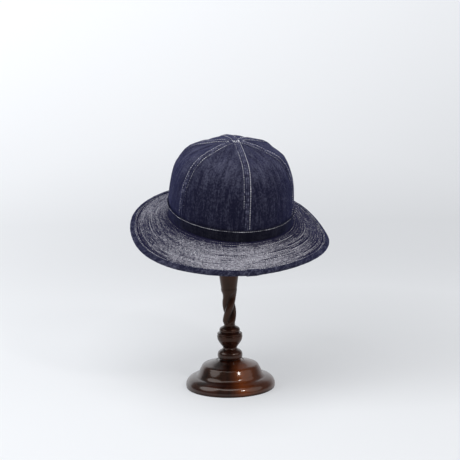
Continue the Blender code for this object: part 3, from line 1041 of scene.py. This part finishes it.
def lay_row(path, away_from, samples, pace, size, seed, boldness):
    """Lays one row of stitches of size (length, width, height), as a mesh of its own.

    Away_from gives the direction out of the cloth at a point. A stitch is bold from 0, where it
    has sunk into the cloth, to 2, and boldness changes what the row's own waves give.
    """
    row = bmesh.new()
    shade = row.verts.layers.float.new("bold")
    length, width, height = size
    for index, (point, direction) in enumerate(walk(path, samples, pace)):
        slow, quick, wobble = [noise.noise(Vector((index * quickness, seed * 3.3, layer)))
                               for quickness, layer in STITCH_WAVES]
        bold = min(max(boldness(point, 0.6 + 1.1 * slow + 0.6 * quick), 0.0), BOLDEST)
        side = away_from(point).cross(direction).normalized()
        out = direction.cross(side)
        tilt = Matrix.Rotation(wobble * TILT, 3, out)
        turn = Matrix((tilt @ direction, tilt @ side, out)).transposed()
        swell = 0.62 + 0.4 * bold
        sizes = (length * (1 + LENGTH_CHANGE * wobble), width * swell, height * swell)
        stretch = Matrix.Diagonal(sizes) * 0.5
        place = Matrix.Translation(point - out * (1 - bold) * THREAD_SINK) @ (turn @ stretch).to_4x4()
        for corner in bmesh.ops.create_icosphere(row, subdivisions=1, radius=1.0, matrix=place)["verts"]:
            corner[shade] = bold + 0.5 * wobble
    return row


def finish_stitches(name, rows, material):
    """Joins rows of stitches, each made apart, into one piece in the hat's place."""
    joined = bmesh.new()
    for row in rows:
        mesh = bpy.data.meshes.new("row")
        row.to_mesh(mesh)
        row.free()
        joined.from_mesh(mesh)
        bpy.data.meshes.remove(mesh)
    bmesh.ops.transform(joined, matrix=HAT, verts=joined.verts)
    return finished(name, joined, material)


print("a sunk stitch lies", THREAD_SINK, "deeper")

# %% [markdown]
# Each seam of the crown is topstitched on both sides. Most of this thread has sunk in or worn
# off, so a table gives each row its own boldness. The rows stop short of the strip that crosses
# the top.

# %% Rows beside a seam of the crown
SEAM_STITCH_PACE = 3.5 * MM
SEAM_STITCH = (2.8 * MM, 0.9 * MM, 0.7 * MM)
ROW_FOOT_LEVEL = 0.085
ROW_END_RADIUS = 11 * MM
THREAD_LIFT = 0.25 * MM
CROWN_CENTRE = Vector((0, 0, 45 * MM))
CLIMB_LOW, CLIMB_HIGH = 35 * MM, 90 * MM
TOP_LOW, TOP_HIGH = 100 * MM, 110 * MM
QUIET_ROWS = (
    # seam in degrees, side, how bold its thread still is where it has sunk in: foot, then top
    (62, -1, 0.6, 0.15), (62, 1, 0.6, 1.0), (120, -1, 0.6, 0.6), (120, 1, 0.6, 0.8),
    (240, -1, 0.5, 0.7), (240, 1, 0.5, 0.7), (295, -1, 0.25, 0.72), (295, 1, 0.15, 0.42),
)


def level_at_radius(radius):
    """The level near the top of the crown where its seams' circle has this radius."""
    step = CROWN_LEVELS
    while CROWN_PROFILE[step][0] < radius:
        step -= 1
    return step / CROWN_LEVELS


def crown_row(path, seed, samples, boldness):
    def away(point):
        return (point - CROWN_CENTRE).normalized()
    return lay_row(path, away, samples, SEAM_STITCH_PACE, SEAM_STITCH, seed, boldness)


def seam_row(degrees, side, foot_share, top_share):
    """A row beside a seam, from the band up to the strip that crosses the top."""
    top = level_at_radius(ROW_END_RADIUS)
    seam = math.radians(degrees)

    def path(share):
        level = ROW_FOOT_LEVEL + (top - ROW_FOOT_LEVEL) * share
        turn = math.asin(TOPSTITCH_FROM_SEAM / profile_at(level)[0])
        return crown_point(seam + side * turn, level, THREAD_LIFT)

    def boldness(point, bold):
        share = smooth_step(CLIMB_LOW, CLIMB_HIGH, point.z)
        patchy = 1 + 0.9 * noise.noise(Vector((point.z * 130, degrees, side)))
        near_top = 0.3 * smooth_step(TOP_LOW, TOP_HIGH, point.z)
        return (0.6 + 0.4 * bold) * (foot_share + (top_share - foot_share) * share + near_top) * patchy
    return crown_row(path, seam + side, 200, boldness)


print("rows beside a seam end at level", level_at_radius(ROW_END_RADIUS))

# %% [markdown]
# The two rows of the front seam run over the top and down the back without a stop, and short
# tacks hold the strip at the apex. All are laid like the others, along paths of their own.

# %% Topstitch the crown
KNOT_HEIGHT = 77 * MM
WORN_LOW, WORN_HIGH = 38 * MM, 62 * MM
TACK_BOLDNESS = 1.2
APEX_TACKS = (
    # the two ends of each tack, seen from above in mm
    ((-5.5, -5.0), (5.0, -0.5)), ((-5.0, -1.0), (5.5, -4.5)),
    ((-5.0, -3.0), (5.5, -2.4)), ((-4.5, -8.5), (4.5, -7.0)),
)


def main_row(side):
    """A row that runs up the front, straight over the top and down the back."""
    top = level_at_radius(TOPSTITCH_FROM_SEAM)

    def path(share):
        climb = 1 - abs(2 * share - 1)
        level = ROW_FOOT_LEVEL + (top - ROW_FOOT_LEVEL) * climb
        turn = math.asin(min(TOPSTITCH_FROM_SEAM / profile_at(level)[0], 1.0))
        if share > 0.5:
            turn = math.pi - turn
        return crown_point(side * turn, level, THREAD_LIFT)

    def boldness(point, bold):
        if side > 0 > point.y and abs(point.z - KNOT_HEIGHT) < 2 * MM:
            return BOLDEST
        worn_away = 1.0 if side > 0 or point.y > 0 else smooth_step(WORN_LOW, WORN_HIGH, point.z)
        return (0.45 + 0.6 * bold + 0.15 * side) * (0.1 + 0.9 * worn_away)
    return crown_row(path, side * 5.0, 400, boldness)


def apex_tack(start, stop):
    """A short row across the main strip near the apex."""
    first, last = Vector(start) * MM, Vector(stop) * MM

    def path(share):
        place = first.lerp(last, share)
        return crown_point(azimuth_of(place), level_at_radius(place.length), THREAD_LIFT * 2)
    return crown_row(path, start[0], 20, lambda point, bold: TACK_BOLDNESS)


crown_rows = [seam_row(*row) for row in QUIET_ROWS]
crown_rows += [main_row(side) for side in (-1, 1)]
crown_rows += [apex_tack(*ends) for ends in APEX_TACKS]
finish_stitches("crown_topstitching", crown_rows, TOP_THREAD)

# %% [markdown]
# One row holds the band's upper edge, and has pulled it in a little. The row begins and ends
# near the front, where a knot shows. It follows the band's own bend, so it can't leave the cloth.

# %% Stitch the band's upper edge
BAND_KNOT_AZIMUTH = math.radians(-4.5)
BAND_KNOT_WIDTH = math.radians(1.6)
BAND_STITCH_PACE = 3.2 * MM
BAND_STITCH = (2.9 * MM, 0.8 * MM, 0.7 * MM)
RING_SAMPLES = 480


def outward(point, upward=0.0):
    return Vector((point.x, point.y, upward)).normalized()


def band_row():
    def path(share):
        outside = 1.0 + BAND_INSIDE + BAND_THICKNESS + 0.2 * MM
        return band_bend(ring_point(math.tau * share, outside, BAND_ROW_HEIGHT))

    def boldness(point, bold):
        azimuth = azimuth_of(point)
        knot = 1.2 * hill(azimuth, BAND_KNOT_AZIMUTH, BAND_KNOT_WIDTH)
        return 0.42 + 0.35 * bold + knot + 0.12 * smooth_step(0.3, 1.0, -azimuth)
    return lay_row(path, outward, RING_SAMPLES, BAND_STITCH_PACE, BAND_STITCH, BAND_ROW_HEIGHT / MM, boldness)


finish_stitches("band_stitching", [band_row()], TOP_THREAD)

# %% [markdown]
# The binding is sewn on last, through all its layers. Its row lies just inside the folded edge,
# and leans outward a little, as the binding's own rounded face does.

# %% Stitch the binding
BINDING_STITCH_PACE = 3.4 * MM
BINDING_STITCH = (2.4 * MM, 0.6 * MM, 0.5 * MM)
BINDING_SEED = 90
BINDING_ROW_IN, BINDING_ROW_LIFT = 0.9 * MM, 1.35 * MM


def binding_row():
    """The row that holds the binding, just inside its upper edge, with a knot where it began."""
    def path(share):
        return brim_point(math.tau * share, BINDING_START + BINDING_ROW_IN, BINDING_ROW_LIFT)

    def away(point):
        return outward(point, 0.25)

    def boldness(point, bold):
        from_knot = turn_between(azimuth_of(point), JOIN_AZIMUTH)
        return bold + 2.0 * hill(from_knot, 0, math.radians(0.8))
    return lay_row(path, away, RING_SAMPLES, BINDING_STITCH_PACE, BINDING_STITCH, BINDING_SEED, boldness)


finish_stitches("binding_stitching", [binding_row()], BRIM_THREAD)

# %% [markdown]
# Fifteen rings of stitches quilt the brim, above and below. A real one is sewn as a long spiral,
# but rings look the same and can start anywhere. Most stitches lie deep between two ribs. In some
# runs the thread lies loose and catches the light, and a table says where.

# %% Quilt the brim's rows
BRIM_STITCH_PACE = 3.2 * MM
BRIM_STITCH = (2.5 * MM, 0.6 * MM, 0.5 * MM)
BRIM_SAMPLES = 420
UNDER_SEED = 40
ROW_START_TURN = 0.13
BRIM_THREAD_LIFT = 0.1 * MM
BRIGHT_RUNS = (
    # where thread lies loose and bright: azimuth from and to in degrees, row of stitching, share
    (-26, -4, 1, 0.6), (-26, -2, 7, 0.8), (-6, 14, 9, 1.0), (6, 20, 10, 0.9), (16, 36, 9, 1.0),
    (32, 56, 8, 1.0), (10, 30, 7, 0.8), (28, 50, 6, 0.9), (8, 34, 2, 0.7), (28, 48, 2, 0.8),
    (46, 84, 5, 0.6), (50, 108, 14, 0.4), (34, 58, 12, 0.5), (-50, -34, 7, 0.5), (-66, -44, 11, 0.35),
    (-150, -80, 14, 0.4), (-86, -50, 14, 0.15), (-135, -70, 12, 0.25), (-104, -76, 8, 0.5),
    (-114, -98, 7, 0.5), (-124, -108, 5, 0.6), (120, 160, 12, 0.6), (170, 215, 9, 0.6),
)


def bright_share(azimuth, row):
    """How boldly the thread of a row shows here, from 0 to 1."""
    share = 0.0
    for start, stop, bright_row, strength in BRIGHT_RUNS:
        if bright_row == row:
            share = max(share, strength * run_share(azimuth, start, stop, 0.7))
    return share


def brim_row(index, side):
    seed = index if side > 0 else index + UNDER_SEED
    out = FIRST_ROW + ROW_PITCH * index
    lift = BRIM_THREAD_LIFT if side > 0 else -BRIM_WALL - BRIM_THREAD_LIFT

    def path(share):
        return brim_point(math.tau * (share + ROW_START_TURN * seed), out, lift)

    def away(point):
        return (Vector((0, 0, 1)) + outward(point) * 0.42).normalized() * side

    def boldness(point, bold):
        if side < 0:
            return bold * 0.8
        # Stitches near the crown are dulled and sunk to go with the painted shade there.
        shade_near_crown = 0.5 + 0.5 * smooth_step(0, 3, index)
        glint = 1.4 * max(noise.noise(point * 420) - 0.1, 0)
        bright = 1.5 * bright_share(azimuth_of(point), index)
        return (bold * 0.55 + glint + bright) * shade_near_crown
    return lay_row(path, away, BRIM_SAMPLES, BRIM_STITCH_PACE, BRIM_STITCH, seed, boldness)


for name, side in (("top", 1), ("under", -1)):
    brim_rows = [brim_row(index, side) for index in range(ROW_COUNT)]
    finish_stitches(f"brim_stitching_{name}", brim_rows, BRIM_THREAD)

# %% [markdown]
# The stand is turned wood: profiles in a table of heights and radii, spun on a lathe. Its varnish
# is glossy, thicker on the foot than on the column. A warm glow of light is painted on the front
# right of the foot, and painted shade darkens the twist's grooves and the foot's lowest edge.

# %% Varnished wood
GRAIN_DARK, GRAIN_PALE = (0.005, 0.0015, 0.0010, 1), (0.034, 0.009, 0.005, 1)
PAINTED_GLOW_TONE, PATCH_TONE = (0.165, 0.036, 0.006, 1), (0.060, 0.016, 0.006, 1)
PORE_TONE, GROOVE_SHADE_TONE = (0.004, 0.002, 0.002, 1), (0.003, 0.001, 0.001, 1)
FOOT_EDGE_SHADE_TONE = (0.002, 0.002, 0.003, 1)
PAINTED_GLOW_ACROSS = (0.966, 0.259)
EDGE_LOW, EDGE_HIGH = 0.8 * MM, 4 * MM


def wood_material():
    made, wires, shader = new_material("varnished_wood")
    place = wires.put("TexCoord").outputs["Object"]
    parts = wires.parts(place)
    height = parts[2]
    figure = wires.noise(place, 1.0, 4.0, 0.6, (60, 60, 9))
    pores = wires.noise(place, 1.0, 2.0, 0.5, (900, 900, 70))
    marks = wires.noise(place, 1.0, 2.0, 0.6, (25, 25, 520))
    patches = wires.noise(place, 18.0, 2.0, 0.5)
    # Painted glow: a warm patch of light is painted across the front right of the foot, across the view, and
    # fades out up the stand.
    across = wires.minus(wires.times(parts[0], PAINTED_GLOW_ACROSS[0]), wires.times(parts[1], PAINTED_GLOW_ACROSS[1]))
    across = wires.plus(across, wires.span(patches, 0.3, 0.7, -8 * MM, 8 * MM))
    painted_glow_share = wires.times(wires.span(across, -7 * MM, 18 * MM), wires.span(across, 14 * MM, 44 * MM, 1.0, 0.25))
    painted_glow_share = wires.times(painted_glow_share, wires.span(height, 38 * MM, 46 * MM, 1.0, 0.1))
    painted_glow_share = wires.times(painted_glow_share, wires.span(patches, 0.25, 0.6, 0.5, 1.0))
    colour = wires.mix(wires.span(figure, 0.35, 0.68), GRAIN_DARK, GRAIN_PALE)
    for amount, tone in (
        (painted_glow_share, PAINTED_GLOW_TONE),
        (wires.span(patches, 0.50, 0.75, 0.0, 0.5), PATCH_TONE),
        (wires.span(pores, 0.56, 0.70, 0.0, 0.5), PORE_TONE),
        # Painted shade in the twist's grooves.
        (wires.times(wires.attribute("deep"), 0.85), GROOVE_SHADE_TONE),
        # Painted shade along the foot's lowest edge, where it meets the floor.
        (wires.span(height, EDGE_LOW, EDGE_HIGH, 0.9, 0.0), FOOT_EDGE_SHADE_TONE),
    ):
        colour = wires.mix(amount, colour, tone)
    coat = wires.span(height, 10 * MM, 22 * MM, 0.80, 0.60)
    coat = wires.minus(coat, wires.span(height, 58 * MM, 72 * MM, 0.0, 0.24))
    wires.fill(shader, {
        "Base Color": colour,
        "Roughness": wires.span(patches, 0.3, 0.7, 0.28, 0.38),
        "Normal": wires.bump(wires.plus(figure, marks), 0.15, 0.2 * MM),
        "Specular IOR Level": 0.18,
        "Specular Tint": (1.0, 0.40, 0.12, 1),
        "Coat Weight": wires.times(coat, wires.span(height, EDGE_LOW, EDGE_HIGH, 0.1, 1.0)),
        "Coat Roughness": 0.12,
    })
    return made


WOOD = wood_material()
print("varnished wood has", len(WOOD.node_tree.nodes), "nodes")

# %% [markdown]
# The foot and the column step in and out in beads and coves. Each is a row or two in a table.
# The curve through the rows is smooth, and rows that lie close together keep an edge crisp.

# %% Profiles for the lathe
BASE_ROWS_MM = (
    # height, radius
    (0.0, 67.0), (1.0, 67.4), (3.6, 67.8), (6.6, 67.5), (9.6, 66.3), (12.2, 64.4), (14.4, 61.6),
    (16.4, 56.6), (17.4, 52.4), (19.0, 50.2), (21.5, 48.4), (25.0, 46.9), (28.0, 45.5), (31.0, 43.9),
    (33.2, 42.6), (34.7, 40.9), (35.6, 38.4), (36.6, 34.6), (37.8, 30.6), (39.2, 26.4), (40.5, 22.6),
    (41.1, 21.2), (41.0, 20.7), (40.4, 20.6), (36.0, 20.6), (34.0, 20.6),
)
COLUMN_ROWS_MM = (
    # height, radius
    (34.3, 20.2), (36.0, 20.2), (40.2, 20.2), (40.9, 19.8), (41.5, 17.8), (42.4, 15.4), (43.0, 15.5),
    (43.8, 17.0), (45.4, 18.4), (49.5, 18.9), (53.4, 18.1), (56.1, 15.7), (57.7, 12.9), (59.2, 11.0),
    (61.2, 10.8), (63.8, 12.5), (68.6, 15.9), (73.0, 18.3), (77.0, 19.2), (79.8, 19.0), (80.8, 18.3),
    (81.8, 19.0), (83.0, 18.6), (84.0, 16.8), (84.4, 14.6), (86.5, 15.5), (89.0, 15.5), (91.2, 14.2),
    (92.8, 11.6), (94.2, 9.0), (96.0, 8.5), (109.0, 9.4), (122.0, 10.2), (135.0, 11.1), (150.0, 12.1),
    (153.0, 12.1), (160.0, 13.0), (170.0, 14.3), (190.0, 15.9), (215.0, 17.8), (240.0, 20.5),
    (262.0, 24.0), (276.0, 29.0),
)
CURVE_STEPS = 5


def smooth_rows(rows):
    count = (len(rows) - 1) * CURVE_STEPS
    return [along_rows(rows, step / CURVE_STEPS) * MM for step in range(count + 1)]


print("profiles of", len(smooth_rows(BASE_ROWS_MM)), "and", len(smooth_rows(COLUMN_ROWS_MM)), "points")

# %% [markdown]
# A lathe cuts a profile, so each part of the stand is one profile spun round the axis. Faces that
# meet at a steep angle stay sharp, as the tool left them.

# %% Turn the foot
LATHE_STEPS = 120
SHARP_ANGLE = math.radians(50)


def turned(name, rows, node, bend=None):
    """Spins a profile of (height, radius) into a closed solid on the stand's axis.

    Bend may carve each vertex, and gives its new place and how deep it lies in a groove.
    """
    spun = bmesh.new()
    profile = [(0, rows[0][0])] + [(radius, height) for height, radius in rows] + [(0, rows[-1][0])]
    points, edges = draw_line(spun, [(radius, 0, height) for radius, height in profile])
    bmesh.ops.spin(
        spun, geom=points + edges, cent=(0, 0, 0), axis=(0, 0, 1),
        angle=math.tau, steps=LATHE_STEPS, use_merge=True,
    )
    bmesh.ops.remove_doubles(spun, verts=spun.verts, dist=MERGE_DISTANCE / 2)
    bmesh.ops.recalc_face_normals(spun, faces=spun.faces)
    deep = spun.verts.layers.float.new("deep")
    if bend:
        for point in spun.verts:
            point.co, point[deep] = bend(point.co)
    piece = finished(name, spun, WOOD)
    piece.data.set_sharp_from_angle(angle=SHARP_ANGLE)
    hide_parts(node)


turned("turned_foot", smooth_rows(BASE_ROWS_MM), "stand_base")

# %% [markdown]
# The column's twist is carved after turning. A carver rasps it along a line wound round the
# column. Here each vertex of that stretch moves in or out to the outline of three round strands
# that turn as they rise.

# %% Carve the column
TWIST_LOW, TWIST_HIGH = 96.0 * MM, 150.0 * MM
TWIST_FOOT_BLEND, TWIST_TOP_BLEND = 6 * MM, 14 * MM
TWIST_LEVELS = 60
TWIST_STRANDS = 3
TWIST_PITCH = 88.5 * MM
TWIST_GROOVE_AZIMUTH = math.radians(31)
STRAND_RADIUS = 5.9 * MM
STRAND_OFFSET = 4.5 * MM


def strand_radius(azimuth, height):
    """The outline of round strands that turn as they rise, and how near their groove it is."""
    groove = TWIST_GROOVE_AZIMUTH + math.tau * height / TWIST_PITCH
    span = math.tau / TWIST_STRANDS
    from_crest = (azimuth - groove) % span - span / 2
    side = STRAND_OFFSET * math.sin(from_crest)
    radius = STRAND_OFFSET * math.cos(from_crest) + math.sqrt(STRAND_RADIUS ** 2 - side ** 2)
    return radius, smooth_step(0.45, 0.95, abs(from_crest) / (span / 2))


def twist(point):
    radius = math.hypot(point.x, point.y)
    share = smooth_step(TWIST_LOW, TWIST_LOW + TWIST_FOOT_BLEND, point.z)
    share *= 1 - smooth_step(TWIST_HIGH - TWIST_TOP_BLEND, TWIST_HIGH, point.z)
    if radius < 1 * MM or share == 0:
        return point, 0.0
    target, groove = strand_radius(azimuth_of(point), point.z)
    scale = (radius + (target - radius) * share) / radius
    return Vector((point.x * scale, point.y * scale, point.z)), groove * share


def more_rows(rows, low, high, steps):
    """Adds levels between two heights, so that the carved stretch is fine enough."""
    inside = [row for row in rows if low <= row[0] <= high]
    first, last = inside[0], inside[-1]
    fine = [first + (last - first) * (step / steps) for step in range(steps + 1)]
    return [row for row in rows if row[0] < low] + fine + [row for row in rows if row[0] > high]


column_rows = more_rows(smooth_rows(COLUMN_ROWS_MM), TWIST_LOW, TWIST_HIGH, TWIST_LEVELS)
turned("turned_column", column_rows, "stand_column", twist)

# %% [markdown]
# The crown rests on a dome that the photo hides. It is turned like the rest, as part of a ball
# with a flat underside, so that nothing floats when the hat is seen from below.

# %% Turn the hidden dome
HEAD_RADIUS = 50 * MM
HEAD_CENTRE_HEIGHT = 327.5 * MM
HEAD_UNDERSIDE_HEIGHT = 276.3 * MM
HEAD_UNDERSIDE_RADIUS = 34 * MM
HEAD_WAIST_HEIGHT = 300 * MM
HEAD_STEPS = 30


def dome_rows():
    waist = math.asin((HEAD_WAIST_HEIGHT - HEAD_CENTRE_HEIGHT) / HEAD_RADIUS)
    rows = [Vector((HEAD_UNDERSIDE_HEIGHT, HEAD_UNDERSIDE_RADIUS))]
    for step in range(HEAD_STEPS):
        angle = waist + (math.pi / 2 - waist) * step / HEAD_STEPS
        height = HEAD_CENTRE_HEIGHT + HEAD_RADIUS * math.sin(angle)
        rows.append(Vector((height, HEAD_RADIUS * math.cos(angle))))
    return rows


turned("turned_dome", dome_rows(), "stand_head")

# %% [markdown]
# A pale sweep stands in for the studio table: flat under the stand, then curving up behind it, so
# that no horizon shows. Its paper glows with painted light, more up the back and less to the right,
# and painted shadows darken it round the stand.

# %% Lay the sweep
SWEEP_FRONT, SWEEP_SIDE = -2.4, 3.5
SWEEP_START = 0.9
SWEEP_RADIUS = 2.0
SWEEP_STEPS = 24
PAPER_TONE = (0.330, 0.334, 0.342, 1)
PAINTED_GLOW_TINT = (0.975, 0.995, 1.03)
PAINTED_SHADOW_SPOTS = (
    # painted shadows on the paper: metres across the view and behind the stand, reach, how much
    (0.17, 0.28, 0.43, 0.155), (-0.02, 1.00, 0.75, 0.09), (0.00, -0.12, 0.16, 0.055),
)


def paper_with_painted_light():
    paper, wires, shader = new_material("paper")
    place = wires.put("TexCoord").outputs["Object"]
    turned_place = wires.fill(wires.put("Mapping"), {"Vector": place, "Rotation": (0, 0, -CAMERA_AZIMUTH)})
    across, depth, height = wires.parts(turned_place.outputs[0])
    # The paper's emission is painted light, and each spot below takes some away as painted shadow.
    painted_glow = wires.minus(wires.span(depth, 1.25, 2.2, 0.47, 0.69), wires.times(across, 0.13))
    for spot_across, spot_depth, reach, amount in PAINTED_SHADOW_SPOTS:
        away = wires.put("VectorMath", operation="DISTANCE")
        wires.fill(away, {0: turned_place.outputs[0], 1: (spot_across, spot_depth, 0.0)})
        painted_glow = wires.minus(painted_glow, wires.span(away.outputs["Value"], 0.0, reach, amount, 0.0))
    tinted = {channel: wires.times(painted_glow, share) for channel, share in enumerate(PAINTED_GLOW_TINT)}
    wires.fill(shader, {
        "Emission Color": wires.fill(wires.put("CombineColor"), tinted).outputs[0],
        "Emission Strength": 1.0,
        "Base Color": PAPER_TONE,
        "Roughness": 0.9,
    })
    return paper


def sweep():
    """A floor that curves up behind the object, as one extruded strip turned to the camera."""
    made = bmesh.new()
    outline = [(SWEEP_FRONT, 0.0), (SWEEP_START, 0.0)]
    for step in range(1, SWEEP_STEPS + 1):
        angle = math.pi / 2 * step / SWEEP_STEPS
        outline.append((SWEEP_START + SWEEP_RADIUS * math.sin(angle), SWEEP_RADIUS * (1 - math.cos(angle))))
    edges = draw_line(made, [(-SWEEP_SIDE, depth, height) for depth, height in outline])[1]
    moved = verts_in(bmesh.ops.extrude_edge_only(made, edges=edges))
    bmesh.ops.translate(made, verts=moved, vec=(2 * SWEEP_SIDE, 0, 0))
    bmesh.ops.rotate(made, verts=made.verts, matrix=Matrix.Rotation(CAMERA_AZIMUTH, 3, "Z"))
    bmesh.ops.recalc_face_normals(made, faces=made.faces)
    return make_object("sweep", made, paper_with_painted_light())


floor = sweep()
print("sweep of", len(floor.data.polygons), "faces")

# %% [markdown]
# The light is soft: a big window on the left, one from above, a broad fill on the right, and a
# small lamp at the front right that draws the highlights on the varnish.

# %% Set up the lights
LIGHT_TARGET = Vector((0, 0, 0.2))
WARM, COOL, SKY = (1.0, 0.99, 0.98), (0.95, 0.98, 1.0), (0.93, 0.96, 1.0, 1)
SKY_STRENGTH = 0.20
SOFTBOXES = (
    # name, azimuth and elevation in degrees, distance and size in metres, power in watts, colour
    ("key_front_right", 23, 36, 2.2, 0.28, 11, WARM),
    ("fill_right", 54, 30, 2.6, 2.3, 13, WARM),
    ("window_left", -90, 42, 2.6, 2.2, 32, COOL),
    ("top", -20, 75, 2.4, 2.4, 40, (0.98, 0.99, 1.0)),
)


def softbox(name, azimuth, elevation, distance, size, power, colour):
    data = bpy.data.lights.new(name, "AREA")
    data.shape = "DISK"
    data.size = size
    data.energy = power
    data.color = colour
    light = add_object(name, data)
    back = toward(math.radians(azimuth), math.radians(elevation))
    light.location = LIGHT_TARGET + back * distance
    light.rotation_euler = back.to_track_quat("Z", "Y").to_euler()


def studio_world():
    world = bpy.data.worlds.new("studio")
    world.use_nodes = True
    sky = world.node_tree.nodes["Background"]
    sky.inputs["Color"].default_value = SKY
    sky.inputs["Strength"].default_value = SKY_STRENGTH
    bpy.context.scene.world = world


for light in SOFTBOXES:
    softbox(*light)
studio_world()
print("lights", [light[0] for light in SOFTBOXES])

# %% [markdown]
